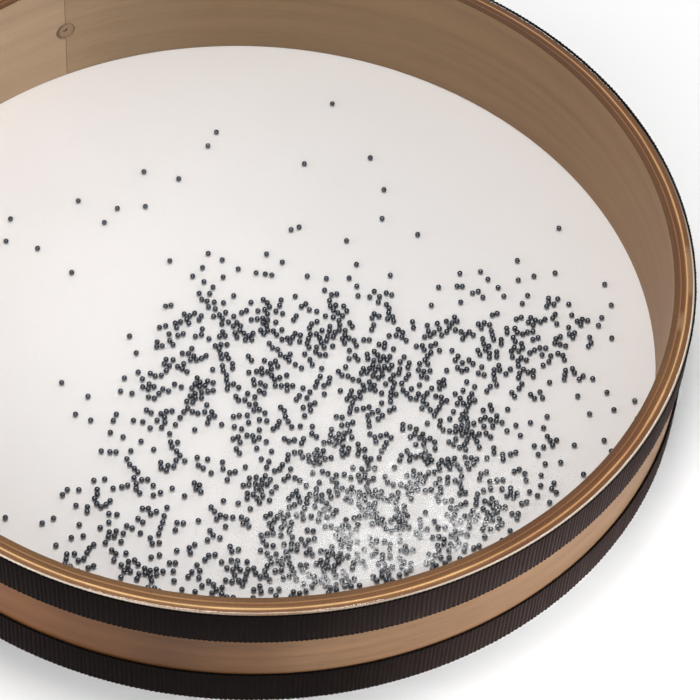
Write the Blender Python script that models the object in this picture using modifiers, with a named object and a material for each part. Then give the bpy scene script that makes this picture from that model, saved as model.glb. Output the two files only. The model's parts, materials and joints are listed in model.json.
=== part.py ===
"""A wave drum: a flat round drum with steel shot loose between its two heads.

A bent wooden hoop of three plies carries a clear film head on top and a white one below.
Each head lies flat on the hoop's edge, turns down over its outer corner and is held there by
a ribbed black ribbon.
The shot lies on the bottom head and rolls about when the drum is tipped.
Metres, +Z up. The origin is the centre of the face that the drum rests on.
"""

from math import cos, hypot, pi, radians, sin
import random

import bmesh
import bpy

# Driving sizes, in metres
OUTER_DIAMETER = 0.508
SHELL_HEIGHT = 0.079
PLY_THICKNESS = 0.0032
FILM_THICKNESS = 0.00035
RIBBON_THICKNESS = 0.0008
# Touching pieces keep this much room, where the real ones have glue or lie on each other
GAP = 0.0003

# The hoop's edges are flat, with both outer corners rounded and the top one inside eased
OUTER_ROUNDING = 0.0012
INNER_ROUNDING = 0.0006
# How far each head's turned-down hem reaches past the rounded corner, under its ribbon
TOP_HEM = 0.010
BOTTOM_HEM = 0.012

RIBBON_WIDTH = 0.0247
LOWER_RIBBON_FOOT = 0.0006
# How far the upper ribbon stands above the top head
RIBBON_LIP = 0.0003

# Each ply is a strip bent to a ring, and its ends meet at a butt joint
JOINT_WIDTH = 0.0004
INNER_JOINT_AZIMUTH = 120
CORE_JOINT_AZIMUTH = 350
OUTER_JOINT_AZIMUTH = 2
UPPER_RIBBON_JOINT_AZIMUTH = 98
LOWER_RIBBON_JOINT_AZIMUTH = 104

# The hole through which the shot went in, closed by a wooden bung with a pin
BUNG_HOLE_DIAMETER = 0.013
BUNG_HEIGHT = 0.0384
BUNG_RECESS = 0.0012
PIN_DIAMETER = 0.0018
PIN_HEAD_ROUNDING = 0.00045
PIN_LENGTH = 0.0075
PIN_POCKET_DIAMETER = 0.0034
PIN_POCKET_DEPTH = 0.0015

SHOT_DIAMETER = 0.0032
SHOT_SUBDIVISION_COUNT = 2

# Faces round a full turn, and along each rounded corner
TURN_STEPS = 72
CORNER_STEPS = 4
HOLE_STEPS = 24

# Places on the bottom head, as shares of the hoop's inner radius from the drum's axis
# Lone shot that turns with the charge but rolls no further
LOOSE_SHOT = (
    (-0.12, 0.62), (0.13, 0.57), (-0.19, 0.50), (-0.27, 0.40), (0.33, 0.39),
    (0.12, 0.35), (0.10, 0.34), (-0.37, 0.34), (-0.61, 0.265), (-0.44, 0.17),
)
# Lone shot that rolls by itself along Y: its place, and how far it rolls back and on
ROLLING_SHOT = (
    (0.20, 0.79, 0.12, 0.12), (-0.10, 0.67, 0.12, 0.16), (0.30, 0.60, 0.10, 0.12),
    (-0.28, 0.52, 0.08, 0.16), (0.335, 0.49, 0.06, 0.16), (-0.44, 0.41, 0.10, 0.14),
    (-0.34, 0.39, 0.04, 0.16), (0.78, 0.38, 0.10, 0.16), (0.42, 0.34, 0.08, 0.16),
    (-0.605, 0.34, 0.05, 0.16), (-0.53, 0.245, 0.10, 0.14), (-0.44, -0.18, 0.10, 0.10),
)
# The shot at the crowd's front edge, and a seeded scatter of more inside the crowd
CROWD_EDGE = (
    (0.24, 0.31), (0.67, 0.265), (0.04, 0.255), (0.08, 0.23),
    (-0.07, 0.23), (-0.20, 0.22), (0.71, 0.215), (0.35, 0.20),
)
CROWD_INSIDE_COUNT = 18
CROWD_INSIDE_X = (-0.25, 0.70)
CROWD_INSIDE_Y = (-0.66, 0.04)
CROWD_INSIDE_SPACING = 0.018
CROWD_SEED = 7
# How far the crowd rolls as one across the bottom head
WAVE_TRAVEL = 0.050

# Radii and heights that follow from the driving sizes
RIBBON_OUTER_RADIUS = OUTER_DIAMETER / 2
RIBBON_INNER_RADIUS = RIBBON_OUTER_RADIUS - RIBBON_THICKNESS
SHELL_OUTER_RADIUS = RIBBON_INNER_RADIUS - GAP - FILM_THICKNESS - GAP
CORE_OUTER_RADIUS = SHELL_OUTER_RADIUS - PLY_THICKNESS - GAP
INNER_OUTER_RADIUS = CORE_OUTER_RADIUS - PLY_THICKNESS - GAP
SHELL_INNER_RADIUS = INNER_OUTER_RADIUS - PLY_THICKNESS
WALL_CENTRE_RADIUS = (SHELL_INNER_RADIUS + SHELL_OUTER_RADIUS) / 2
WALL_HALF_WIDTH = (SHELL_OUTER_RADIUS - SHELL_INNER_RADIUS) / 2

BOTTOM_HEAD_TOP = FILM_THICKNESS
SHELL_FOOT = BOTTOM_HEAD_TOP + GAP
SHELL_CREST = SHELL_FOOT + SHELL_HEIGHT
TOP_HEAD_TOP = SHELL_CREST + GAP + FILM_THICKNESS
UPPER_RIBBON_FOOT = TOP_HEAD_TOP + RIBBON_LIP - RIBBON_WIDTH
SHOT_CENTRE_HEIGHT = BOTTOM_HEAD_TOP + GAP + SHOT_DIAMETER / 2


def material(name, colour, roughness, metallic=0.0):
    """A Principled material; colour is linear RGB."""
    made = bpy.data.materials.new(name)
    made.use_nodes = True
    shader = made.node_tree.nodes["Principled BSDF"]
    shader.inputs["Base Color"].default_value = (*colour, 1.0)
    shader.inputs["Roughness"].default_value = roughness
    shader.inputs["Metallic"].default_value = metallic
    return made


def add_object(name, mesh, collection, finish=None):
    """An object of this mesh in the collection, with its finish."""
    made = bpy.data.objects.new(name, mesh)
    collection.objects.link(made)
    if finish:
        mesh.materials.append(finish)
    return made


def turned(name, outline, closed, collection, finish):
    """A body turned about Z from an outline of (radius, height) points.

    The outline runs down the outer side. A closed one is a ring; an open one starts and
    ends on the axis.
    """
    mesh = bpy.data.meshes.new(name)
    points = [(radius, 0, height) for radius, height in outline]
    edges = [(i, i + 1) for i in range(len(points) - 1)]
    if closed:
        edges.append((len(points) - 1, 0))
    mesh.from_pydata(points, edges, [])
    body = add_object(name, mesh, collection, finish)
    screw = body.modifiers.new("turn", "SCREW")
    screw.axis = "Z"
    screw.angle = 2 * pi
    screw.steps = TURN_STEPS
    screw.render_steps = TURN_STEPS
    screw.use_merge_vertices = True
    screw.merge_threshold = 0.00001
    screw.use_smooth_shade = True
    return body


def corner(centre_radius, centre_height, size, start, end):
    """(radius, height) points on an arc; its angles are in degrees from straight up."""
    points = []
    for i in range(CORNER_STEPS + 1):
        angle = radians(start + (end - start) * i / CORNER_STEPS)
        points.append((centre_radius + size * sin(angle), centre_height + size * cos(angle)))
    return points


def ply_outline(inner_radius, outer_radius):
    """A ply's section, with the wall's own corners rounded where the ply has them."""
    outline = [(inner_radius, SHELL_CREST)]
    if inner_radius == SHELL_INNER_RADIUS:
        outline = corner(
            inner_radius + INNER_ROUNDING, SHELL_CREST - INNER_ROUNDING, INNER_ROUNDING, -90, 0
        )
    if outer_radius == SHELL_OUTER_RADIUS:
        middle = outer_radius - OUTER_ROUNDING
        outline += corner(middle, SHELL_CREST - OUTER_ROUNDING, OUTER_ROUNDING, 0, 90)
        outline += corner(middle, SHELL_FOOT + OUTER_ROUNDING, OUTER_ROUNDING, 90, 180)
    else:
        outline += [(outer_radius, SHELL_CREST), (outer_radius, SHELL_FOOT)]
    return outline + [(inner_radius, SHELL_FOOT)]


def head_outline(edge, hem, side):
    """A head's section from the axis, over the hoop's outer corner and down its hem, and back.

    edge is the height of the hoop's edge; side is 1 for the top head and -1 for the bottom one.
    """
    middle = SHELL_OUTER_RADIUS - OUTER_ROUNDING
    skins = []
    for offset in (GAP + FILM_THICKNESS, GAP):
        arc = corner(middle, -OUTER_ROUNDING, OUTER_ROUNDING + offset, 0, 90)
        skin = [(radius, edge + side * rise) for radius, rise in arc]
        hem_end = (SHELL_OUTER_RADIUS + offset, edge - side * (OUTER_ROUNDING + hem))
        skins.append([(0, skin[0][1])] + skin + [hem_end])
    first, second = skins if side > 0 else skins[::-1]
    return first + second[::-1]


def ring_outline(inner_radius, outer_radius, foot, height):
    """A plain band's section, down the outer side first."""
    return [
        (outer_radius, foot + height),
        (outer_radius, foot),
        (inner_radius, foot),
        (inner_radius, foot + height),
    ]


def radial_rod(name, radius, start, length, azimuth, height, collection, finish=None):
    """A round rod lying along the drum's radius, from start outwards."""
    mesh = bpy.data.meshes.new(name)
    shape = bmesh.new()
    bmesh.ops.create_cone(
        shape, cap_ends=True, segments=HOLE_STEPS, radius1=radius, radius2=radius, depth=length
    )
    shape.to_mesh(mesh)
    shape.free()
    rod = add_object(name, mesh, collection, finish)
    middle = start + length / 2
    turn = radians(azimuth)
    rod.location = (middle * cos(turn), middle * sin(turn), height)
    rod.rotation_euler = (0, pi / 2, turn)
    return rod


def as_cutter(body):
    """Keeps a body as a tool that cuts others, out of the model."""
    body.hide_render = True
    body.display_type = "WIRE"
    return body


def joint_cutter(name, azimuth, collection):
    """A thin upright plate across the wall, where a bent strip's ends meet."""
    mesh = bpy.data.meshes.new(name)
    shape = bmesh.new()
    bmesh.ops.create_cube(shape, size=1.0)
    # Past the ribbons outwards and past the wall on its other three sides
    reach = 2 * (RIBBON_OUTER_RADIUS - WALL_CENTRE_RADIUS) + PLY_THICKNESS
    bmesh.ops.scale(shape, vec=(reach, JOINT_WIDTH, 2 * SHELL_HEIGHT), verts=shape.verts)
    shape.to_mesh(mesh)
    shape.free()
    plate = add_object(name, mesh, collection)
    turn = radians(azimuth)
    middle = SHELL_FOOT + SHELL_HEIGHT / 2
    plate.location = (WALL_CENTRE_RADIUS * cos(turn), WALL_CENTRE_RADIUS * sin(turn), middle)
    plate.rotation_euler = (0, 0, turn)
    return as_cutter(plate)


def cut(body, cutter):
    """Takes the cutter's shape out of the body."""
    difference = body.modifiers.new(cutter.name, "BOOLEAN")
    difference.operation = "DIFFERENCE"
    difference.object = cutter


def build_shell(parts, cutters, wood):
    """The three plies, each with its butt joint and the bung's hole."""
    hole = as_cutter(
        radial_rod(
            "bung_hole", BUNG_HOLE_DIAMETER / 2, SHELL_INNER_RADIUS - PLY_THICKNESS,
            2 * WALL_HALF_WIDTH + 2 * PLY_THICKNESS, INNER_JOINT_AZIMUTH, BUNG_HEIGHT, cutters,
        )
    )
    plies = (
        ("inner_ply", SHELL_INNER_RADIUS, INNER_OUTER_RADIUS, INNER_JOINT_AZIMUTH),
        ("core_ply", INNER_OUTER_RADIUS + GAP, CORE_OUTER_RADIUS, CORE_JOINT_AZIMUTH),
        ("outer_ply", CORE_OUTER_RADIUS + GAP, SHELL_OUTER_RADIUS, OUTER_JOINT_AZIMUTH),
    )
    for name, inner, outer, azimuth in plies:
        ply = turned(name, ply_outline(inner, outer), True, parts, wood)
        cut(ply, joint_cutter(name + "_joint", azimuth, cutters))
        cut(ply, hole)


def build_bung(parts, cutters, bung_wood, pin_metal):
    """The bung through the wall, and the pin in its pocket."""
    azimuth = INNER_JOINT_AZIMUTH
    start = SHELL_INNER_RADIUS + BUNG_RECESS
    length = SHELL_OUTER_RADIUS - GAP - start
    bung = radial_rod(
        "fill_bung", BUNG_HOLE_DIAMETER / 2 - GAP, start, length, azimuth, BUNG_HEIGHT,
        parts, bung_wood,
    )
    pocket = radial_rod(
        "pin_pocket", PIN_POCKET_DIAMETER / 2, start - PIN_POCKET_DEPTH,
        2 * PIN_POCKET_DEPTH, azimuth, BUNG_HEIGHT, cutters,
    )
    bore = radial_rod(
        "pin_bore", PIN_DIAMETER / 2 + GAP, start, PIN_LENGTH + GAP, azimuth, BUNG_HEIGHT, cutters
    )
    cut(bung, as_cutter(pocket))
    cut(bung, as_cutter(bore))
    pin_start = start + PIN_POCKET_DEPTH / 2
    pin = radial_rod(
        "bung_pin", PIN_DIAMETER / 2, pin_start, start + PIN_LENGTH - pin_start, azimuth,
        BUNG_HEIGHT, parts, pin_metal,
    )
    dome = pin.modifiers.new("rounded_head", "BEVEL")
    dome.width = PIN_HEAD_ROUNDING
    dome.segments = 2
    dome.limit_method = "ANGLE"


def build_heads(parts, clear_film, white_film):
    """The two film heads, each turned over the hoop's outer corner."""
    turned("top_head", head_outline(SHELL_CREST, TOP_HEM, 1), False, parts, clear_film)
    turned("bottom_head", head_outline(SHELL_FOOT, BOTTOM_HEM, -1), False, parts, white_film)


def build_ribbons(parts, cutters, ribbon):
    """The two ribbons round the hems."""
    bands = (
        ("upper_ribbon", UPPER_RIBBON_FOOT, UPPER_RIBBON_JOINT_AZIMUTH),
        ("lower_ribbon", LOWER_RIBBON_FOOT, LOWER_RIBBON_JOINT_AZIMUTH),
    )
    for name, foot, azimuth in bands:
        outline = ring_outline(RIBBON_INNER_RADIUS, RIBBON_OUTER_RADIUS, foot, RIBBON_WIDTH)
        band = turned(name, outline, True, parts, ribbon)
        cut(band, joint_cutter(name + "_joint", azimuth, cutters))


def on_head(shares):
    """Shares of the hoop's inner radius as lengths."""
    return tuple(share * SHELL_INNER_RADIUS for share in shares)


def lanes_clear(x, y, travel, others):
    """True if a ball at x, y that rolls on by travel meets none of the others on their way.

    others are (x, y, back, on), all rolling along Y.
    """
    room = SHOT_DIAMETER + GAP
    for other_x, other_y, back, on in others:
        beside = abs(x - other_x) >= room
        behind = y + travel + room <= other_y - back
        ahead = y >= other_y + on + room
        if not (beside or behind or ahead):
            return False
    return True


def crowd_places():
    """Where the crowd's modelled shot lies: its front edge, then a scatter inside it."""
    still = [(*on_head(shot), 0, 0) for shot in LOOSE_SHOT]
    rolling = [on_head(shot) for shot in ROLLING_SHOT]
    places = [on_head(shot) for shot in CROWD_EDGE]
    draw = random.Random(CROWD_SEED)
    wanted = len(places) + CROWD_INSIDE_COUNT
    while len(places) < wanted:
        x, y = on_head((draw.uniform(*CROWD_INSIDE_X), draw.uniform(*CROWD_INSIDE_Y)))
        spaced = all(hypot(x - px, y - py) > CROWD_INSIDE_SPACING for px, py in places)
        if spaced and lanes_clear(x, y, WAVE_TRAVEL, still + rolling):
            places.append((x, y))
    return places


def build_shot(parts, steel):
    """The steel shot, each ball its own body, parented by how it moves."""
    mesh = bpy.data.meshes.new("shot")
    shape = bmesh.new()
    bmesh.ops.create_icosphere(shape, subdivisions=SHOT_SUBDIVISION_COUNT, radius=SHOT_DIAMETER / 2)
    shape.to_mesh(mesh)
    shape.free()
    mesh.shade_smooth()
    mesh.materials.append(steel)

    swirl = bpy.data.objects.new("swirl_pivot", None)
    wave = bpy.data.objects.new("wave_slide", None)
    wave.parent = swirl
    for guide in (swirl, wave):
        parts.objects.link(guide)

    groups = (
        ("loose_shot", [on_head(shot) for shot in LOOSE_SHOT], swirl),
        ("rolling_shot", [on_head(shot[:2]) for shot in ROLLING_SHOT], swirl),
        ("crowd_shot", crowd_places(), wave),
    )
    for name, places, carrier in groups:
        for number, (x, y) in enumerate(places, 1):
            ball = bpy.data.objects.new(f"{name}_{number:02d}", mesh)
            parts.objects.link(ball)
            ball.parent = carrier
            ball.location = (x, y, SHOT_CENTRE_HEIGHT)


def main():
    """Clears the scene and builds the drum."""
    for old in list(bpy.data.objects):
        bpy.data.objects.remove(old)
    parts = bpy.data.collections.new("wave_drum")
    cutters = bpy.data.collections.new("wave_drum_cutters")
    for collection in (parts, cutters):
        bpy.context.scene.collection.children.link(collection)

    wood = material("bent_beech_ply", (0.33, 0.20, 0.12), 0.5)
    bung_wood = material("turned_bung_wood", (0.38, 0.26, 0.18), 0.6)
    pin_metal = material("brass_pin", (0.60, 0.48, 0.30), 0.35, 1.0)
    clear_film = material("clear_polyester_film", (0.90, 0.88, 0.84), 0.08)
    white_film = material("white_polyester_film", (0.83, 0.78, 0.76), 0.35)
    ribbon = material("black_grosgrain", (0.020, 0.017, 0.016), 0.85)
    steel = material("blued_steel", (0.08, 0.09, 0.11), 0.25, 1.0)

    build_shell(parts, cutters, wood)
    build_bung(parts, cutters, bung_wood, pin_metal)
    build_heads(parts, clear_film, white_film)
    build_ribbons(parts, cutters, ribbon)
    build_shot(parts, steel)


if __name__ == "__main__":
    main()
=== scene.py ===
"""The looks of a wave drum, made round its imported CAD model.

A bent wooden hoop carries a clear head above and a white one below, each bound by a ribbed
black ribbon, with steel shot loose between them. Lengths are in metres, +Z is up, and the
drum rests on z = 0 with its axis on the origin, as in the CAD model.
"""

from __future__ import annotations

import json
import logging
import random
from collections.abc import Callable
from dataclasses import dataclass, field
from enum import Enum
from math import cos, hypot, pi, radians, sin, tau

import bmesh
import bpy
from mathutils import Matrix, Vector


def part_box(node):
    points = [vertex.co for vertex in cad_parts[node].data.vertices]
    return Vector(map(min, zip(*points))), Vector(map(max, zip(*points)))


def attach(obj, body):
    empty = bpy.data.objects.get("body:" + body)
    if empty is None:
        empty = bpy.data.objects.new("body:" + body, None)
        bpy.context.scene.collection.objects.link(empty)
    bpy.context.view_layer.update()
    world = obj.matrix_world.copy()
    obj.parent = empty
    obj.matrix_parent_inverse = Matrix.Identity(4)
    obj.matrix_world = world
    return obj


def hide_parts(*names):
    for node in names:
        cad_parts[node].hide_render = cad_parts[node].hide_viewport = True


LOG = logging.getLogger("wave_drum")

MM = 0.001
PICTURE_WIDTH_PX = 700
SENSOR_WIDTH_MM = 36.0

Section = list[tuple[float, float]]
Point = tuple[float, float, float]


def linear(hex_colour: str) -> tuple[float, float, float, float]:
    """Turns an sRGB hex colour into linear RGBA.

    Args:
        hex_colour: Six hex digits, without the hash.

    Returns:
        Linear red, green, blue and an alpha of 1.
    """
    channels = []
    for start in (0, 2, 4):
        value = int(hex_colour[start:start + 2], 16) / 255
        channels.append(value / 12.92 if value <= 0.04045 else ((value + 0.055) / 1.055) ** 2.4)
    return (*channels, 1.0)


def add_node(
    tree: bpy.types.NodeTree, kind: str, inputs: dict | None = None, **settings: object
) -> bpy.types.Node:
    """Adds a shader node with its settings, values and links.

    Args:
        tree: The node tree it goes in.
        kind: The node's type name.
        inputs: Socket name or number to a value, or to the output that feeds it.
        **settings: The node's own properties.

    Returns:
        The new node.
    """
    made = tree.nodes.new(kind)
    for name, value in settings.items():
        setattr(made, name, value)
    for key, value in (inputs or {}).items():
        if isinstance(value, bpy.types.NodeSocket):
            tree.links.new(value, made.inputs[key])
        else:
            made.inputs[key].default_value = value
    return made


def new_material(name: str) -> tuple[bpy.types.Material, bpy.types.NodeTree]:
    """Makes an empty node material.

    Args:
        name: The material's name.

    Returns:
        The material and its cleared node tree.
    """
    made = bpy.data.materials.new(name)
    made.use_nodes = True
    made.node_tree.nodes.clear()
    return made, made.node_tree


def grey(tone: float) -> str:
    """The sRGB hex colour of a grey.

    Args:
        tone: How light it is in linear light, from 0 to 1.

    Returns:
        Six hex digits.
    """
    value = tone * 12.92 if tone <= 0.0031308 else 1.055 * tone ** (1 / 2.4) - 0.055
    return f"{round(255 * value):02x}" * 3


def set_ramp(ramp: bpy.types.Node, stops: list[tuple[float, str]]) -> None:
    """Gives a colour ramp its stops.

    Args:
        ramp: The colour ramp node.
        stops: Position and sRGB hex colour of each stop.
    """
    elements = ramp.color_ramp.elements
    while len(elements) < len(stops):
        elements.new(1.0)
    for element, (position, colour) in zip(elements, stops):
        element.position = position
        element.color = linear(colour)


def drawn_out_noise(
    tree: bpy.types.NodeTree, place: bpy.types.NodeSocket, length_mm: float, width_mm: float,
    detail: float = 2.0,
) -> bpy.types.NodeSocket:
    """A flat noise that is longer one way than the other.

    Args:
        tree: The material's node tree.
        place: Place along and across, in metres.
        length_mm: The pattern's length along.
        width_mm: Its width across.
        detail: The noise's detail.

    Returns:
        The noise's factor.
    """
    scale = (1 / (length_mm * MM), 1 / (width_mm * MM), 1)
    stretched = add_node(tree, "ShaderNodeVectorMath", {0: place, 1: scale}, operation="MULTIPLY")
    noise = add_node(
        tree, "ShaderNodeTexNoise",
        {"Vector": stretched.outputs[0], "Scale": 1.0, "Detail": detail, "Roughness": 0.6},
        noise_dimensions="2D",
    )
    return noise.outputs["Fac"]


def spread(
    tree: bpy.types.NodeTree, value: bpy.types.NodeSocket, low: float, high: float,
    to_low: float = 0.0, to_high: float = 1.0,
) -> bpy.types.NodeSocket:
    """Maps a value from one range to another, held at its ends.

    Args:
        tree: The material's node tree.
        value: The value.
        low: Where the first range starts.
        high: Where it ends.
        to_low: What its start becomes.
        to_high: What its end becomes.

    Returns:
        The mapped value.
    """
    ends = {"Value": value, "From Min": low, "From Max": high, "To Min": to_low, "To Max": to_high}
    return add_node(tree, "ShaderNodeMapRange", ends).outputs[0]


def mixed(
    tree: bpy.types.NodeTree, share: bpy.types.NodeSocket | float, first: object, second: object,
    blend: str = "MIX",
) -> bpy.types.NodeSocket:
    """Mixes two colours.

    Args:
        tree: The material's node tree.
        share: How much of the second.
        first: The first colour or the socket that gives it.
        second: The second one.
        blend: The blend type.

    Returns:
        The mixed colour.
    """
    node = add_node(
        tree, "ShaderNodeMix", {0: share, 6: first, 7: second}, data_type="RGBA", blend_type=blend
    )
    return node.outputs[2]


def drift(
    tree: bpy.types.NodeTree, share: bpy.types.NodeSocket, light_and_shade_stops: tuple[tuple[float, str], ...]
) -> bpy.types.NodeSocket:
    """How a surface's tone drifts along a strip or round the hoop; the stops paint light and shade.

    Args:
        tree: The material's node tree.
        share: Share of the way along or round.
        light_and_shade_stops: Places from 0 to 1, each with its sRGB tone of painted light and shade.

    Returns:
        A colour to multiply the surface's own by.
    """
    ramp = add_node(tree, "ShaderNodeValToRGB", {"Fac": share})
    ramp.color_ramp.interpolation = "EASE"
    set_ramp(ramp, list(light_and_shade_stops))
    return ramp.outputs[0]


def share_along(
    tree: bpy.types.NodeTree, strip: bpy.types.NodeSocket, length: float
) -> bpy.types.NodeSocket:
    """Share of the way along a strip of a set length."""
    along = add_node(tree, "ShaderNodeSeparateXYZ", {0: strip}).outputs["X"]
    return spread(tree, along, 0, length)


def share_round(tree: bpy.types.NodeTree, place: bpy.types.NodeSocket) -> bpy.types.NodeSocket:
    """Share of the way round the drum's axis, from -X: 0.25 at the front and 0.5 at +X."""
    return add_node(
        tree, "ShaderNodeTexGradient", {"Vector": place}, gradient_type="RADIAL"
    ).outputs["Fac"]


class PlyFace(Enum):
    """Which face of a ply a part of its section makes; the value is its material slot."""

    VENEER = 0
    EDGE = 1


@dataclass(frozen=True)
class VeneerFinish:
    """A face of the bent beech, sliced, sanded and sealed with a thin satin lacquer.

    The grain runs round the hoop. It gives fine short streaks, broad soft bands where the
    growth rings come to the surface, and small dark flecks of ray and pore. Along the strip its
    tone is also scaled up and down as painted light and shade.
    """

    name: str
    light: str
    middle: str
    dark: str
    fleck: str = "4f3524"
    fleck_share: float = 0.35
    ring_lines_mm: tuple[tuple[float, float, float], ...] = ()
    # Stops along the strip that paint light and shade onto the veneer.
    light_and_shade_stops: tuple[tuple[float, str], ...] = ((0.0, "ffffff"),)
    strip_length: float = 1.53
    lacquer: float = 0.1
    shine: float = 0.2

    def ring_shade(self, tree: bpy.types.NodeTree, strip: bpy.types.NodeSocket) -> bpy.types.NodeSocket:
        """The soft dark lines of single growth rings, which wander a little in height.

        Args:
            tree: The material's node tree.
            strip: Place along and across the strip, in metres.

        Returns:
            A grey to multiply the wood by.
        """
        height = add_node(tree, "ShaderNodeSeparateXYZ", {0: strip}).outputs["Y"]
        wander = drawn_out_noise(tree, strip, 420, 400, 1)
        shift = spread(tree, wander, 0.3, 0.7, -0.005, 0.005)
        place = add_node(tree, "ShaderNodeMath", {0: height, 1: shift}, operation="ADD").outputs[0]
        ramp = add_node(tree, "ShaderNodeValToRGB", {"Fac": spread(tree, place, 0, 0.08)})
        stops = [(0.0, "f4f4f4")]
        for line, half_width, depth in self.ring_lines_mm:
            stops += [((line - half_width) / 80, "fafafa"), (line / 80, grey(1 - 2 * depth))]
            stops.append(((line + half_width) / 80, "ffffff"))
        set_ramp(ramp, stops)
        return ramp.outputs[0]

    def make(self) -> bpy.types.Material:
        """Builds the material."""
        made, tree = new_material(self.name)
        strip = add_node(tree, "ShaderNodeUVMap", uv_map="strip").outputs["UV"]
        fine = drawn_out_noise(tree, strip, 16, 0.5, 3)
        broad = drawn_out_noise(tree, strip, 300, 9)
        flecks = drawn_out_noise(tree, strip, 2.6, 0.32, 1)
        tone = add_node(tree, "ShaderNodeMath", {0: fine, 1: 0.5, 2: 0.0}, operation="MULTIPLY_ADD")
        tone = add_node(
            tree, "ShaderNodeMath", {0: broad, 1: 0.5, 2: tone.outputs[0]}, operation="MULTIPLY_ADD"
        )
        veneer = add_node(tree, "ShaderNodeValToRGB", {"Fac": tone.outputs[0]})
        set_ramp(veneer, [(0.36, self.dark), (0.5, self.middle), (0.64, self.light)])
        colour = veneer.outputs[0]
        if self.ring_lines_mm:
            colour = mixed(tree, 1.0, colour, self.ring_shade(tree, strip), "MULTIPLY")
        # Painted light and shade: the veneer is made lighter or darker along the strip.
        tone = drift(tree, share_along(tree, strip, self.strip_length), self.light_and_shade_stops)
        colour = mixed(tree, 1.0, colour, tone, "MULTIPLY")
        open_pore = spread(tree, flecks, 0.68, 0.8, 0.0, self.fleck_share)
        colour = mixed(tree, open_pore, colour, linear(self.fleck))
        bump = add_node(
            tree, "ShaderNodeBump", {"Strength": 0.25, "Distance": 0.05 * MM, "Height": fine}
        )
        surface = add_node(
            tree, "ShaderNodeBsdfPrincipled",
            {
                "Base Color": colour,
                "Roughness": 0.5,
                "Specular IOR Level": self.shine,
                "Normal": bump.outputs[0],
                "Coat Weight": self.lacquer,
                "Coat Roughness": 0.3,
            },
        )
        add_node(tree, "ShaderNodeOutputMaterial", {"Surface": surface.outputs[0]})
        return made


@dataclass(frozen=True)
class PlyEdgeFinish:
    """The sawn and sanded edge of the plies, darkened by oil and glue.

    Every ply shows as a stripe of brown layers. A pale line marks each place where glue
    and a light veneer meet, and the ends of each strip look paler where the glue joins them.
    The bright gold stripe near the outer ply is partly such a line and partly a painted
    highlight. Round the hoop the edge is made lighter at the front and left, as a painted
    reflection of the film, and darker at the right, as painted shade.
    """

    name: str = "sanded_ply_edge"
    inner: float = 0.24205
    outer: float = 0.2531
    # The stripe from 248.9 to 249.5 mm is partly a light veneer at a glue line and partly a painted highlight.
    layers_mm: tuple[tuple[float, str], ...] = (
        (242.05, "765737"), (243.2, "785432"), (245.2, "7b5633"), (245.45, "a67b51"), (245.95, "a67b51"),
        (246.2, "784e26"), (247.8, "7f5730"), (248.7, "9b7147"), (248.9, "f8cc94"), (249.5, "f8cc92"),
        (249.8, "a87b4f"), (250.6, "875c35"), (251.7, "916640"), (253.1, "a17448"),
    )
    # Painted light and shade round the hoop: lighter at the front and left as a painted reflection of the film,
    # darker at the right as painted shade.
    round_light_and_shade: tuple[tuple[float, str], ...] = (
        (0.0, "d2c8c0"), (0.16, "ededea"), (0.23, "eeede7"), (0.265, "e7e3da"), (0.325, "e7e1d5"),
        (0.353, "cebfb5"), (0.41, "cebfb5"), (0.445, "dad5ce"), (0.5, "d2c5bc"), (0.56, "d0c2b8"),
        (0.63, "bcada2"), (0.75, "d2c8c0"),
    )
    layer_length_mm: float = 90.0
    layer_width_mm: float = 0.45
    joint_reach: float = 0.006
    strip_length: float = 1.55

    def make(self) -> bpy.types.Material:
        """Builds the material."""
        made, tree = new_material(self.name)
        place = add_node(tree, "ShaderNodeTexCoord").outputs["Object"]
        flat = add_node(tree, "ShaderNodeVectorMath", {0: place, 1: (1, 1, 0)}, operation="MULTIPLY")
        radius = add_node(tree, "ShaderNodeVectorMath", {0: flat.outputs[0]}, operation="LENGTH")
        radius = radius.outputs["Value"]
        strip = add_node(tree, "ShaderNodeUVMap", uv_map="strip").outputs["UV"]
        along = add_node(tree, "ShaderNodeSeparateXYZ", {0: strip}).outputs["X"]
        cut = add_node(tree, "ShaderNodeCombineXYZ", {"X": along, "Y": radius}).outputs[0]
        lines = drawn_out_noise(tree, cut, self.layer_length_mm, self.layer_width_mm, 3)
        ticks = drawn_out_noise(tree, cut, 0.7, 2.2, 1)
        sway = spread(tree, drawn_out_noise(tree, cut, 34, 900, 1), 0.3, 0.7, -0.00012, 0.00012)
        swayed = add_node(tree, "ShaderNodeMath", {0: radius, 1: sway}, operation="ADD").outputs[0]
        layers = add_node(
            tree, "ShaderNodeValToRGB", {"Fac": spread(tree, swayed, self.inner, self.outer)}
        )
        width = self.outer / MM - self.inner / MM
        set_ramp(layers, [((r - self.inner / MM) / width, colour) for r, colour in self.layers_mm])
        shade = spread(tree, lines, 0.3, 0.7, 0.72, 1.22)
        colour = mixed(tree, 1.0, layers.outputs[0], shade, "MULTIPLY")
        marks = spread(tree, ticks, 0.3, 0.72, 0.9, 1.14)
        colour = mixed(tree, 1.0, colour, marks, "MULTIPLY")
        # Painted light and shade round the hoop.
        tone = drift(tree, share_round(tree, place), self.round_light_and_shade)
        colour = mixed(tree, 1.0, colour, tone, "MULTIPLY")
        start = spread(tree, along, 0, self.joint_reach, 0.45, 0.0)
        end = spread(tree, along, self.strip_length - self.joint_reach, self.strip_length, 0.0, 0.45)
        near_joint = add_node(tree, "ShaderNodeMath", {0: start, 1: end}, operation="MAXIMUM")
        colour = mixed(tree, near_joint.outputs[0], colour, linear("a98a66"))
        surface = add_node(
            tree, "ShaderNodeBsdfPrincipled",
            {"Base Color": colour, "Roughness": 0.45, "Specular IOR Level": 0.15},
        )
        add_node(tree, "ShaderNodeOutputMaterial", {"Surface": surface.outputs[0]})
        return made


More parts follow.
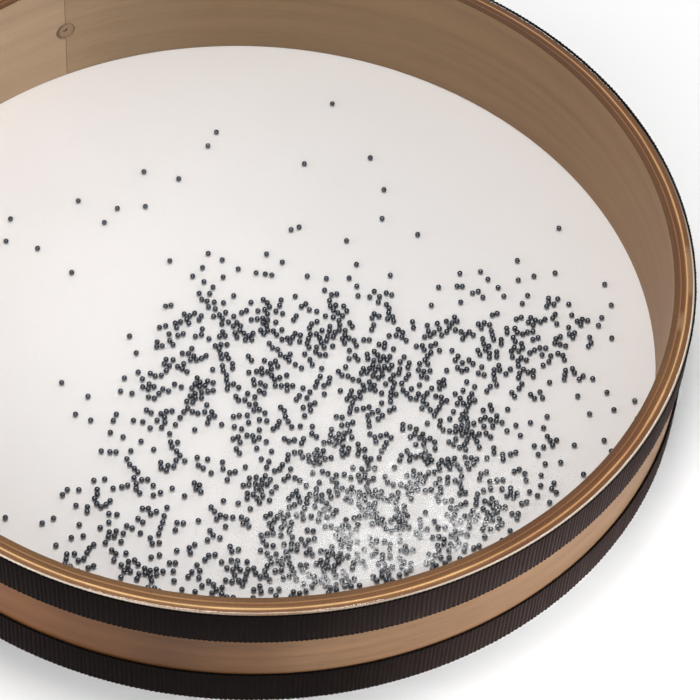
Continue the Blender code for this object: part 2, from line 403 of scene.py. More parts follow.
@dataclass(frozen=True)
class EndGrainFinish:
    """A turned wooden bung: bare end grain, duller and greyer than the lacquered hoop.

    Towards the edge of the hole it is darkened with painted shade, most of all at the upper left.
    """

    name: str = "turned_beech_end_grain"
    light: str = "a38768"
    dark: str = "7d664e"
    # The centre of the painted shade ring, a little off the hole's axis.
    middle: Point = (-0.1198, 0.2109, 0.0373)
    fibre_mm: float = 0.35

    def make(self) -> bpy.types.Material:
        """Builds the material."""
        made, tree = new_material(self.name)
        place = add_node(tree, "ShaderNodeTexCoord").outputs["Object"]
        fibres = add_node(
            tree, "ShaderNodeTexNoise",
            {"Vector": place, "Scale": 1 / (self.fibre_mm * MM), "Detail": 2.0, "Roughness": 0.6},
        )
        tone = add_node(tree, "ShaderNodeValToRGB", {"Fac": fibres.outputs["Fac"]})
        set_ramp(tone, [(0.35, self.dark), (0.65, self.light)])
        off = add_node(tree, "ShaderNodeVectorMath", {0: place, 1: self.middle}, operation="DISTANCE")
        # Painted shade: a dark ring towards the edge of the hole.
        painted_edge_shade = spread(tree, off.outputs["Value"], 0.0044, 0.0066, 0.0, 0.8)
        colour = mixed(tree, painted_edge_shade, tone.outputs[0], linear("3c2c1e"))
        surface = add_node(
            tree, "ShaderNodeBsdfPrincipled", {"Base Color": colour, "Roughness": 0.7}
        )
        add_node(tree, "ShaderNodeOutputMaterial", {"Surface": surface.outputs[0]})
        return made


@dataclass(frozen=True)
class ClearFilmFinish:
    """Clear polyester film, drawn and heat-set: see-through, with a sharp gloss.

    Play has scuffed it finely towards the front. The pale specks there are partly scuffs and
    partly painted glints of the lamps, which show only over something dark. Where the film is
    bent over the hoop's corner, a pale line is painted on as a highlight, stronger in some places
    round the hoop than in others.
    """

    name: str = "clear_polyester_film"
    tint: str = "ffffff"
    ior: float = 1.5
    roughness: float = 0.08
    scuff_mm: float = 0.8
    glint_and_scuff_place: Point = (0.085, -0.215, 0.0)
    glint_and_scuff_reach: float = 0.14
    glint_and_scuff_edge: float = 0.2405
    glint_and_scuff_cover: float = 0.48
    crease: float = 0.2524
    # How strong the painted highlight on the bent corner is, and how that varies round the hoop.
    crease_highlight_cover: float = 0.95
    crease_highlight_round: tuple[tuple[float, str], ...] = (
        (0.0, "808080"), (0.165, "ffffff"), (0.2, "f0f0f0"), (0.235, "a0a0a0"), (0.26, "505050"),
        (0.29, "b0b0b0"), (0.34, "ffffff"), (0.48, "ffffff"), (0.53, "909090"), (0.57, "404040"),
        (0.66, "606060"), (0.8, "a0a0a0"),
    )

    def scuffs(
        self, tree: bpy.types.NodeTree, flat: bpy.types.NodeSocket, radius: bpy.types.NodeSocket
    ) -> bpy.types.NodeSocket:
        """How far a place on the film is scuffed and painted with glints.

        Args:
            tree: The material's node tree.
            flat: The place on the head.
            radius: Its distance from the drum's axis.

        Returns:
            A share from 0 to 1.
        """
        off = add_node(
            tree, "ShaderNodeVectorMath", {0: flat, 1: self.glint_and_scuff_place}, operation="DISTANCE"
        )
        wear_and_sheen = spread(tree, off.outputs["Value"], self.glint_and_scuff_reach, 0.03, 0.0, 0.5)
        clumps = drawn_out_noise(tree, flat, 14, 14, 2)
        specks = drawn_out_noise(tree, flat, self.scuff_mm, self.scuff_mm, 2)
        both = add_node(
            tree, "ShaderNodeMath", {0: wear_and_sheen, 1: clumps, 2: specks}, operation="MULTIPLY_ADD"
        )
        # Pale specks, partly scuffs and partly painted glints of the lamps.
        cover = spread(tree, both.outputs[0], 0.78, 0.88, 0.0, self.glint_and_scuff_cover)
        inside = spread(tree, radius, self.glint_and_scuff_edge - 0.004, self.glint_and_scuff_edge, 1.0, 0.0)
        return add_node(
            tree, "ShaderNodeMath", {0: cover, 1: inside}, operation="MULTIPLY"
        ).outputs[0]

    def make(self) -> bpy.types.Material:
        """Builds the material."""
        made, tree = new_material(self.name)
        through = add_node(tree, "ShaderNodeBsdfTransparent", {"Color": linear(self.tint)})
        gloss = add_node(tree, "ShaderNodeBsdfGlossy", {"Roughness": self.roughness})
        gloss.inputs["Color"].default_value = linear("ffffff")
        edge_on = add_node(tree, "ShaderNodeFresnel", {"IOR": self.ior})
        behind = add_node(tree, "ShaderNodeNewGeometry").outputs["Backfacing"]
        front = spread(tree, behind, 0, 1, 1, 0)
        share = add_node(tree, "ShaderNodeMath", {0: edge_on.outputs[0], 1: front}, operation="MULTIPLY")
        film = add_node(
            tree, "ShaderNodeMixShader",
            {0: share.outputs[0], 1: through.outputs[0], 2: gloss.outputs[0]},
        )
        place = add_node(tree, "ShaderNodeTexCoord").outputs["Object"]
        flat = add_node(tree, "ShaderNodeVectorMath", {0: place, 1: (1, 1, 0)}, operation="MULTIPLY")
        flat = flat.outputs[0]
        radius = add_node(tree, "ShaderNodeVectorMath", {0: flat}, operation="LENGTH").outputs["Value"]
        # Painted highlight: a pale haze just outside the crease radius, where the film bends over the hoop's
        # corner.
        crease_highlight_share = spread(tree, radius, self.crease, self.crease + 0.0003, 0.0, self.crease_highlight_cover)
        highlight_strength = drift(tree, share_round(tree, place), self.crease_highlight_round)
        crease_highlight_share = add_node(
            tree, "ShaderNodeMath", {0: crease_highlight_share, 1: highlight_strength}, operation="MULTIPLY"
        ).outputs[0]
        # Pale diffuse haze over the film: partly scuffs with painted glints, and the painted highlight on the bent
        # corner.
        for cover, colour in ((self.scuffs(tree, flat, radius), "e4e4e4"), (crease_highlight_share, "f6e6d2")):
            haze = add_node(tree, "ShaderNodeBsdfDiffuse", {"Color": linear(colour)})
            film = add_node(
                tree, "ShaderNodeMixShader", {0: cover, 1: film.outputs[0], 2: haze.outputs[0]}
            )
        add_node(tree, "ShaderNodeOutputMaterial", {"Surface": film.outputs[0]})
        return made


@dataclass(frozen=True)
class WhiteFilmFinish:
    """White polyester film, extruded with a fine satin grain: even, bright and barely warm."""

    name: str = "white_polyester_film"
    colour: str = "f1eeec"
    cloud: str = "edeae8"
    grain_mm: float = 0.5
    cloud_mm: float = 60.0

    def make(self) -> bpy.types.Material:
        """Builds the material."""
        made, tree = new_material(self.name)
        place = add_node(tree, "ShaderNodeTexCoord").outputs["Object"]
        cloud = add_node(
            tree, "ShaderNodeTexNoise", {"Vector": place, "Scale": 1 / (self.cloud_mm * MM), "Detail": 2.0}
        )
        colour = mixed(tree, cloud.outputs["Fac"], linear(self.colour), linear(self.cloud))
        grain = add_node(
            tree, "ShaderNodeTexNoise", {"Vector": place, "Scale": 1 / (self.grain_mm * MM), "Detail": 1.0}
        )
        bump = add_node(
            tree, "ShaderNodeBump",
            {"Strength": 0.15, "Distance": 0.02 * MM, "Height": grain.outputs["Fac"]},
        )
        surface = add_node(
            tree, "ShaderNodeBsdfPrincipled",
            {"Base Color": colour, "Roughness": 0.45, "Normal": bump.outputs[0]},
        )
        add_node(tree, "ShaderNodeOutputMaterial", {"Surface": surface.outputs[0]})
        return made


@dataclass(frozen=True)
class GrosgrainFinish:
    """Black polyester grosgrain, woven: deep black in the valleys, with a dull purple-grey
    sheen on the ribs where the light skims them. Along both edges it is flat, with no sheen, and
    darker. Along the strip its colour and sheen are scaled up and down as painted light and
    shade: darker at the front, paler and with more sheen to the right of it.
    """

    name: str = "black_grosgrain_ribbon"
    colour: str = "140e0c"
    wear_and_sheen: str = "261c18"
    selvage: str = "050404"
    width: float = 0.0247
    selvage_width: float = 0.0016
    thread_mm: float = 0.45
    sheen: float = 0.26
    strip_length: float = 1.6
    # Painted light and shade along the strip, which also scale the sheen.
    light_and_shade_stops: tuple[tuple[float, str], ...] = (
        (0.0, "cbcbcb"), (0.36, "dcd4d0"), (0.43, "a2978f"), (0.49, "9c9084"), (0.55, "fcf8f8"),
        (0.6, "ffffff"), (0.65, "d8c8c4"), (0.7, "c8c0be"),
    )

    def make(self) -> bpy.types.Material:
        """Builds the material."""
        made, tree = new_material(self.name)
        strip = add_node(tree, "ShaderNodeUVMap", uv_map="strip").outputs["UV"]
        crimp = drawn_out_noise(tree, strip, 1.3, self.thread_mm, 1)
        tone = add_node(tree, "ShaderNodeValToRGB", {"Fac": crimp})
        set_ramp(tone, [(0.35, self.colour), (0.7, self.wear_and_sheen)])
        height = add_node(tree, "ShaderNodeSeparateXYZ", {0: strip}).outputs["Y"]
        # Darker along both edges, with no sheen there.
        foot = spread(tree, height, 0.0005, self.selvage_width, 1.0, 0.0)
        top = spread(tree, height, self.width - self.selvage_width, self.width - 0.0008, 0.0, 1.0)
        flat = add_node(tree, "ShaderNodeMath", {0: foot, 1: top}, operation="MAXIMUM").outputs[0]
        colour = mixed(tree, flat, tone.outputs[0], linear(self.selvage))
        # Painted light and shade: colour and sheen are scaled along the strip, darker at the front and paler to
        # the right of it.
        wear_and_sheen = drift(tree, share_along(tree, strip, self.strip_length), self.light_and_shade_stops)
        colour = mixed(tree, 1.0, colour, wear_and_sheen, "MULTIPLY")
        sheen = spread(tree, flat, 0, 1, self.sheen, 0.0)
        sheen = add_node(tree, "ShaderNodeMath", {0: sheen, 1: wear_and_sheen}, operation="MULTIPLY").outputs[0]
        bump = add_node(
            tree, "ShaderNodeBump", {"Strength": 0.6, "Distance": 0.12 * MM, "Height": crimp}
        )
        surface = add_node(
            tree, "ShaderNodeBsdfPrincipled",
            {
                "Base Color": colour,
                "Roughness": 0.7,
                "Specular IOR Level": 0.06,
                "Sheen Weight": sheen,
                "Sheen Roughness": 0.4,
                "Sheen Tint": linear("b09a9c"),
                "Normal": bump.outputs[0],
            },
        )
        add_node(tree, "ShaderNodeOutputMaterial", {"Surface": surface.outputs[0]})
        return made


@dataclass(frozen=True)
class MetalFinish:
    """A plain metal: ground steel shot, tumbled to a dark polish, or a drawn brass pin."""

    name: str
    colour: str
    roughness: float
    scuff_mm: float
    edge: str = "ffffff"

    def make(self) -> bpy.types.Material:
        """Builds the material."""
        made, tree = new_material(self.name)
        place = add_node(tree, "ShaderNodeTexCoord").outputs["Object"]
        scuffs = add_node(
            tree, "ShaderNodeTexNoise", {"Vector": place, "Scale": 1 / (self.scuff_mm * MM), "Detail": 2.0}
        )
        rough = spread(
            tree, scuffs.outputs["Fac"], 0, 1, self.roughness * 0.6, self.roughness * 1.4
        )
        surface = add_node(
            tree, "ShaderNodeBsdfPrincipled",
            {
                "Base Color": linear(self.colour),
                "Metallic": 1.0,
                "Roughness": rough,
                "Specular Tint": linear(self.edge),
            },
        )
        add_node(tree, "ShaderNodeOutputMaterial", {"Surface": surface.outputs[0]})
        return made


def finish_mesh(
    name: str, points: list[Point], faces: list[tuple[int, ...]], finishes: list[bpy.types.Material],
    strip: list[tuple[float, float]] | None = None, slots: list[int] | None = None,
) -> bpy.types.Object:
    """Makes a smooth-shaded object from points and faces.

    Args:
        name: The piece's name.
        points: Its corners.
        faces: Its faces, as corner numbers.
        finishes: Its materials.
        strip: For each corner of each face in turn, its place along and across the strip.
        slots: Each face's material slot, if there is more than one.

    Returns:
        The object, linked to the scene.
    """
    mesh = bpy.data.meshes.new(name)
    mesh.from_pydata(points, [], faces)
    if strip:
        layer = mesh.uv_layers.new(name="strip")
        layer.data.foreach_set("uv", [value for place in strip for value in place])
    for finish in finishes:
        mesh.materials.append(finish)
    if slots:
        mesh.polygons.foreach_set("material_index", slots)
    mesh.shade_smooth()
    mesh.set_sharp_from_angle(angle=radians(50))
    made = bpy.data.objects.new(name, mesh)
    bpy.context.scene.collection.objects.link(made)
    return made


@dataclass
class Joint:
    """The butt joint of a bent strip: where it is, its width and the radius for lengths."""

    azimuth: float
    width: float
    radius: float

    @property
    def open_angle(self) -> float:
        """The angle between the strip's two ends."""
        return self.width / self.radius


def bent_strip(
    name: str, stations: list[float], section_at: Callable[[int], Section], joint: Joint,
    finishes: list[bpy.types.Material], lean_at: Callable[[int], float] | None = None,
) -> bpy.types.Object:
    """Bends a strip of a closed section round Z.

    Args:
        name: The piece's name.
        stations: The shares of the turn at which it has a section, from 0 to 1.
        section_at: Gives the section, as (radius, height) points, at a station's number.
        joint: Where its two ends meet.
        finishes: One material, or the veneer's and the edge's.
        lean_at: How far it leans along the strip for its height, at a station's number.

    Returns:
        The object.
    """
    points: list[Point] = []
    foot = min(z for _, z in section_at(0))
    for number, share in enumerate(stations):
        turn = radians(joint.azimuth) + joint.open_angle / 2 + (tau - joint.open_angle) * share
        lean = lean_at(number) / joint.radius if lean_at else 0.0
        for r, z in section_at(number):
            angle = turn + lean * (z - foot)
            points.append((r * cos(angle), r * sin(angle), z))
    rows = len(points) // len(stations)
    along = [share * tau * joint.radius for share in stations]
    faces: list[tuple[int, ...]] = []
    strip: list[tuple[float, float]] = []
    slots: list[int] = []
    for column in range(len(stations) - 1):
        for row in range(rows):
            first, after = column * rows + row, column * rows + (row + 1) % rows
            faces.append((first, after, after + rows, first + rows))
            low, high = points[first][2] - foot, points[after][2] - foot
            strip += [
                (along[column], low), (along[column], high),
                (along[column + 1], high), (along[column + 1], low),
            ]
            across = hypot(*points[after][:2]) - hypot(*points[first][:2])
            upright = abs(high - low) > 4 * abs(across)
            face = PlyFace.VENEER if upright or len(finishes) == 1 else PlyFace.EDGE
            slots.append(face.value)
    last = (len(stations) - 1) * rows
    for cap, place in ((range(rows)[::-1], along[0]), (range(last, last + rows), along[-1])):
        faces.append(tuple(cap))
        strip += [(place, points[i][2] - foot) for i in cap]
        slots.append(len(finishes) - 1)
    return finish_mesh(name, points, faces, finishes, strip, slots)


def turned(
    name: str, section: Section, columns: int, material: bpy.types.Material
) -> bpy.types.Object:
    """Turns an open section that starts and ends on the axis into a closed body.

    Args:
        name: The piece's name.
        section: Its (radius, height) points, from the axis out and back.
        columns: How many sections go round.
        material: Its finish.

    Returns:
        The object.
    """
    ring = section[1:-1]
    points: list[Point] = [(0.0, 0.0, section[0][1]), (0.0, 0.0, section[-1][1])]
    for column in range(columns):
        turn = tau * column / columns
        points += [(r * cos(turn), r * sin(turn), z) for r, z in ring]
    faces: list[tuple[int, ...]] = []
    count = len(ring)
    for column in range(columns):
        first = 2 + column * count
        second = 2 + (column + 1) % columns * count
        faces.append((0, first, second))
        faces += [(first + i, first + i + 1, second + i + 1, second + i) for i in range(count - 1)]
        faces.append((first + count - 1, 1, second + count - 1))
    return finish_mesh(name, points, faces, [material])


def arc(centre: tuple[float, float], size: float, start: float, end: float, steps: int = 6) -> Section:
    """Points on an arc of a section.

    Args:
        centre: Its centre, as radius and height.
        size: Its own radius.
        start: Where it starts, in degrees from straight up, outwards.
        end: Where it ends.
        steps: How many parts it has.

    Returns:
        Its (radius, height) points.
    """
    angles = [radians(start + (end - start) * i / steps) for i in range(steps + 1)]
    return [(centre[0] + size * sin(a), centre[1] + size * cos(a)) for a in angles]


@dataclass
class Wall:
    """The hoop's wall: flat edges, rounded outer corners and an eased inner top corner."""

    inner: float = 0.24205
    outer: float = 0.2531
    crest: float = 0.07965
    foot: float = 0.00065
    outer_rounding: float = 0.0012
    inner_rounding: float = 0.0006

    @property
    def centre(self) -> float:
        """The radius of the wall's middle."""
        return (self.inner + self.outer) / 2

    @property
    def corner_radius(self) -> float:
        """The radius at which the outer corners' rounding has its centre."""
        return self.outer - self.outer_rounding


@dataclass
class Ply:
    """One ply of the hoop: the CAD node that it stands for, its radii and its joint."""

    node: str
    inner: float
    outer: float
    joint_azimuth: float


@dataclass
class Hoop:
    """The three bent plies, with the filling hole through them.

    The plies nearly touch, as the glue fills what the CAD model leaves open.
    """

    wall: Wall = field(default_factory=Wall)
    glue_gap: float = 0.00002
    joint_width: float = 0.0003
    columns: int = 480
    hole_radius: float = 0.0065
    hole_azimuth: float = 120.0
    hole_height: float = 0.0384

    def plies(self) -> list[Ply]:
        """The plies from the inside out."""
        wall = self.wall
        azimuths = {"inner_ply": 120.0, "core_ply": -10.0, "outer_ply": 1.7}
        step = (wall.outer - wall.inner + self.glue_gap) / len(azimuths)
        return [
            Ply(node, wall.inner + i * step, wall.inner + (i + 1) * step - self.glue_gap, azimuth)
            for i, (node, azimuth) in enumerate(azimuths.items())
        ]

    def section(self, ply: Ply) -> Section:
        """A ply's closed section.

        Args:
            ply: The ply.

        Returns:
            Its (radius, height) points, down the outer side.
        """
        wall = self.wall
        outline = [(ply.inner, wall.crest)]
        if ply.node == "inner_ply":
            eased = (wall.inner + wall.inner_rounding, wall.crest - wall.inner_rounding)
            outline = arc(eased, wall.inner_rounding, -90, 0)
        if ply.node == "outer_ply":
            size = wall.outer_rounding
            outline += arc((wall.corner_radius, wall.crest - size), size, 0, 90)
            outline += arc((wall.corner_radius, wall.foot + size), size, 90, 180)
        else:
            outline += [(ply.outer, wall.crest), (ply.outer, wall.foot)]
        return outline + [(ply.inner, wall.foot)]

    def build(
        self, outside: bpy.types.Material, inside: bpy.types.Material, edge: bpy.types.Material
    ) -> list[bpy.types.Object]:
        """Builds the plies, with the filling hole cut through them.

        Args:
            outside: The outer ply's face.
            inside: The inner plies' faces.
            edge: The edges and ends of all of them.

        Returns:
            The plies.
        """
        drill = self.drill()
        stations = [i / self.columns for i in range(self.columns + 1)]
        made = []
        for ply in self.plies():
            section = self.section(ply)
            face = outside if ply.node == "outer_ply" else inside
            joint = Joint(ply.joint_azimuth, self.joint_width, (ply.inner + ply.outer) / 2)
            piece = bent_strip(
                "bent_" + ply.node, stations, lambda _, section=section: section, joint, [face, edge]
            )
            cut = piece.modifiers.new("filling_hole", "BOOLEAN")
            cut.operation = "DIFFERENCE"
            cut.object = drill
            bpy.context.view_layer.update()
            graph = bpy.context.evaluated_depsgraph_get()
            whole = bpy.data.meshes.new_from_object(piece.evaluated_get(graph))
            piece.modifiers.clear()
            piece.data = whole
            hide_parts(ply.node)
            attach(piece, "drum")
            made.append(piece)
        bpy.data.objects.remove(drill)
        return made

    def drill(self) -> bpy.types.Object:
        """The tool that cuts the filling hole."""
        mesh = bpy.data.meshes.new("filling_drill")
        shape = bmesh.new()
        bmesh.ops.create_cone(
            shape, cap_ends=True, segments=48, radius1=self.hole_radius, radius2=self.hole_radius,
            depth=2 * (self.wall.outer - self.wall.inner),
        )
        shape.to_mesh(mesh)
        shape.free()
        tool = bpy.data.objects.new("filling_drill", mesh)
        bpy.context.scene.collection.objects.link(tool)
        turn = radians(self.hole_azimuth)
        tool.location = (self.wall.centre * cos(turn), self.wall.centre * sin(turn), self.hole_height)
        tool.rotation_euler = (0, pi / 2, turn)
        return tool


@dataclass
class Heads:
    """The clear top head and the white bottom head, each bent over the hoop's outer corner."""

    wall: Wall = field(default_factory=Wall)
    film: float = 0.00035
    gap: float = 0.0003
    columns: int = 480

    def section(self, edge: float, side: int, hem_end: float) -> Section:
        """A head's section from the axis, over the rounded corner, down its hem and back.

        Args:
            edge: The height of the wall's edge.
            side: 1 for the top head and -1 for the bottom one.
            hem_end: The height of the hem's edge.

        Returns:
            Its (radius, height) points, with the upper surface first.
        """
        rounding = self.wall.outer_rounding
        skins = []
        for offset in (self.gap + self.film, self.gap):
            bend = arc((self.wall.corner_radius, -rounding), rounding + offset, 0, 90, steps=8)
            skin = [(radius, edge + side * rise) for radius, rise in bend]
            skins.append([(0.0, skin[0][1])] + skin + [(skin[-1][0], hem_end)])
        first, second = skins if side > 0 else skins[::-1]
        return first + second[::-1]

    def build(self, clear: bpy.types.Material, white: bpy.types.Material) -> list[bpy.types.Object]:
        """Builds both heads.

        Args:
            clear: The top head's finish.
            white: The bottom head's finish.

        Returns:
            The heads.
        """
        hem_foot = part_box("top_head")[0][2]
        hem_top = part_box("bottom_head")[1][2]
        top = turned("clear_head", self.section(self.wall.crest, 1, hem_foot), self.columns, clear)
        bottom = turned("white_head", self.section(self.wall.foot, -1, hem_top), self.columns, white)
        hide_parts("top_head")
        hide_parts("bottom_head")
        for piece in (top, bottom):
            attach(piece, "drum")
        return [top, bottom]


@dataclass
class Ribbon:
    """A ribbed ribbon round a head's hem, its ribs a little uneven and none quite upright."""

    node: str
    joint_azimuth: float
    seed: int
    inner: float = 0.2539
    outer: float = 0.2548
    joint_width: float = 0.0004
    rib_pitch: float = 0.00266
    rib_depth: float = 0.0005
    rib_unevenness: float = 0.16
    edge_scallop: float = 0.0004
    edge_fall: float = 0.0004
    edge_reach: float = 0.0012
    steps_per_rib: int = 6
    most_lean: float = 0.05

    def build(self, finish: bpy.types.Material) -> bpy.types.Object:
        """Builds the ribbon.

        Args:
            finish: The ribbon's finish.

        Returns:
            The ribbon.
        """
        low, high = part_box(self.node)
        foot, top = low[2], high[2]
        draw = random.Random(self.seed)
        count = round(tau * self.outer / self.rib_pitch)
        widths = [1 + draw.uniform(-self.rib_unevenness, self.rib_unevenness) for _ in range(count)]
        fullness = [draw.uniform(0.7, 1.0) for _ in range(count)]
        whole = sum(widths)
        stations = [0.0]
        for width in widths:
            step = width / whole / self.steps_per_rib
            stations += [stations[-1] + step * (i + 1) for i in range(self.steps_per_rib)]
        waves = [(draw.randint(2, 9), draw.uniform(0, tau)) for _ in range(4)]

        def section_at(number: int) -> Section:
            """The ribbon's section: fuller on a rib and drawn in between two."""
            rib, step = divmod(number, self.steps_per_rib)
            across = 2 * step / self.steps_per_rib - 1
            valley = across * across
            rise = self.rib_depth * (1 - valley) * fullness[min(rib, count - 1)]
            crest = self.outer - self.rib_depth + rise
            scallop = self.edge_scallop * valley
            outer_side = []
            for reach in (0.0, 0.15, 0.45, 1.0):
                fall = min(self.edge_fall * (1 - reach) ** 2, crest - self.inner - 0.0001)
                outer_side.append((crest - fall, reach * self.edge_reach + scallop * (1 - reach)))
            upper = [(r, top - drop) for r, drop in outer_side]
            lower = [(r, foot + rise) for r, rise in outer_side[::-1]]
            return upper + lower + [(self.inner, foot + scallop), (self.inner, top - scallop)]

        def lean_at(number: int) -> float:
            """How far the ribs lean there; none at the two ends, so that they meet."""
            share = stations[number]
            sway = sum(sin(tau * turns * share + start) for turns, start in waves) / len(waves)
            return self.most_lean * sway * min(1.0, 20 * share, 20 * (1 - share))

        joint = Joint(self.joint_azimuth, self.joint_width, self.outer)
        piece = bent_strip("ribbed_" + self.node, stations, section_at, joint, [finish], lean_at)
        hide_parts(self.node)
        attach(piece, "drum")
        return piece


@dataclass
class Bung:
    """The wooden bung and its pin, as the CAD model has them."""

    def dress(self, wood: bpy.types.Material, brass: bpy.types.Material) -> None:
        """Gives both CAD pieces their finish.

        Args:
            wood: The bung's finish.
            brass: The pin's finish.
        """
        for name, finish in (("fill_bung", wood), ("bung_pin", brass)):
            for slot in FRAME["nodes"][name].material_slots:
                slot.material = finish


@dataclass
class Lane:
    """A loose ball that the crowd has to pass: its place and its own travel along Y."""

    x: float
    y: float
    back: float
    on: float


@dataclass
class Shot:
    """The steel shot: each CAD ball, and the rest of the crowd that the photograph shows."""

    radius: float = 0.0016
    spacing: float = 0.00322
    crowd_count: int = 1665
    seed: int = 41
    touching_share: float = 0.3
    roam: float = 0.2398
    fineness: int = 3

    def template(self) -> tuple[list[Vector], list[tuple[int, ...]]]:
        """One ball's corners and faces, round the origin."""
        shape = bmesh.new()
        bmesh.ops.create_icosphere(shape, subdivisions=self.fineness, radius=self.radius)
        points = [corner.co.copy() for corner in shape.verts]
        faces = [tuple(corner.index for corner in face.verts) for face in shape.faces]
        shape.free()
        return points, faces

    def balls(
        self, name: str, places: list[Vector], steel: bpy.types.Material
    ) -> bpy.types.Object:
        """One piece that holds a ball at each place.

        Args:
            name: The piece's name.
            places: The balls' centres.
            steel: Their finish.

        Returns:
            The object.
        """
        corners, triangles = self.template()
        points: list[Point] = []
        faces: list[tuple[int, ...]] = []
        for place in places:
            first = len(points)
            points += [tuple(place + corner) for corner in corners]
            faces += [tuple(first + i for i in face) for face in triangles]
        return finish_mesh(name, points, faces, [steel])

    def fullness(self, x: float, y: float) -> float:
        """How full the crowd is at a place on the head.

        Args:
            x: Place along X.
            y: Place along Y.

        Returns:
            1 in the thick of it and 0 outside.
        """

        def fade(value: float, full: float, empty: float) -> float:
            """1 at full, 0 at empty and even in between."""
            return max(0.0, min(1.0, (empty - value) / (empty - full)))

        back = fade(y, 0.0, 0.064) ** 1.4
        left_edge = -0.051 + 0.28 * y
        side = fade(x, left_edge + 0.022, left_edge - 0.024)
        stragglers = 0.10 * fade(x, left_edge, left_edge - 0.060) * fade(y, -0.090, -0.030)
        rim = 0.12 + 0.88 * fade(hypot(x, y), 0.186, 0.214)
        bare = 1 - 0.75 * fade(hypot(x - 0.185, y + 0.07), 0.02, 0.06)
        thin = 1 - 0.55 * fade(x, 0.0, 0.04) * fade(y, -0.08, -0.04)
        front = 0.7 + 0.3 * fade(y, -0.12, -0.08)
        return max(side, stragglers) * back * rim * bare * thin * front

    def crowd(
        self, fixed: list[Vector], lanes: list[Lane], height: float, wave: float
    ) -> list[Vector]:
        """Scatters the crowd's other balls between the CAD ones.

        Args:
            fixed: Centres of the CAD balls.
            lanes: The balls that the crowd rolls past.
            height: The balls' height.
            wave: How far the crowd rolls.

        Returns:
            The new balls' centres.
        """
        draw = random.Random(self.seed)
        cells: dict[tuple[int, int], list[tuple[float, float]]] = {}

        def cell(x: float, y: float) -> tuple[int, int]:
            """The grid cell of a place."""
            return int(x // self.spacing), int(y // self.spacing)

        def is_free(x: float, y: float) -> bool:
            """True where a ball fits between those already laid."""
            column, row = cell(x, y)
            for i in range(column - 1, column + 2):
                for j in range(row - 1, row + 2):
                    for other_x, other_y in cells.get((i, j), ()):
                        if hypot(x - other_x, y - other_y) < self.spacing:
                            return False
            return True

        def rolls_clear(x: float, y: float) -> bool:
            """True where a ball meets neither wall nor lone ball as the crowd rolls on."""
            if hypot(x, y) > self.roam or hypot(x, y + wave) > self.roam:
                return False
            for lane in lanes:
                beside = abs(x - lane.x) >= self.spacing
                behind = y + wave + self.spacing <= lane.y - lane.back
                ahead = y >= lane.y + lane.on + self.spacing
                if not (beside or behind or ahead):
                    return False
            return True

        for place in fixed:
            cells.setdefault(cell(place.x, place.y), []).append((place.x, place.y))
        laid: list[Vector] = []
        while len(laid) < self.crowd_count:
            if laid and draw.random() < self.touching_share:
                near = draw.choice(laid)
                turn = draw.uniform(0, tau)
                reach = self.spacing * draw.uniform(1.0, 1.12)
                x, y = near.x + reach * cos(turn), near.y + reach * sin(turn)
            else:
                x, y = draw.uniform(-0.15, 0.24), draw.uniform(-0.24, 0.07)
            if draw.random() < self.fullness(x, y) and is_free(x, y) and rolls_clear(x, y):
                laid.append(Vector((x, y, height)))
                cells.setdefault(cell(x, y), []).append((x, y))
        return laid

    def build(self, steel: bpy.types.Material) -> list[bpy.types.Object]:
        """Builds every ball.

        Args:
            steel: The balls' finish.

        Returns:
            The pieces.
        """
        bodies = FRAME["record"]["behaviour"]["bodies"]
        travel = {joint["child"]: joint["range_m"] for joint in FRAME["joints"] if joint["type"] == "slide"}
        made = []
        fixed: list[Vector] = []
        lanes: list[Lane] = []
        for body, nodes in bodies.items():
            for node in nodes:
                if not node.split("_")[1] == "shot":
                    continue
                low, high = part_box(node)
                centre = (Vector(low) + Vector(high)) / 2
                fixed.append(centre)
                if body != "crowd_charge":
                    back, on = travel.get(body, (0.0, 0.0))
                    lanes.append(Lane(centre.x, centre.y, -back, on))
                ball = self.balls("ball_of_" + node, [centre], steel)
                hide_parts(node)
                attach(ball, body)
                made.append(ball)
        crowd = self.crowd(fixed, lanes, fixed[0].z, travel["crowd_charge"][1])
        share = len(crowd) // 3 + 1
        for number in range(3):
            part = crowd[number * share:(number + 1) * share]
            piece = self.balls(f"crowd_balls_{number + 1}", part, steel)
            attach(piece, "crowd_charge")
            made.append(piece)
        return made


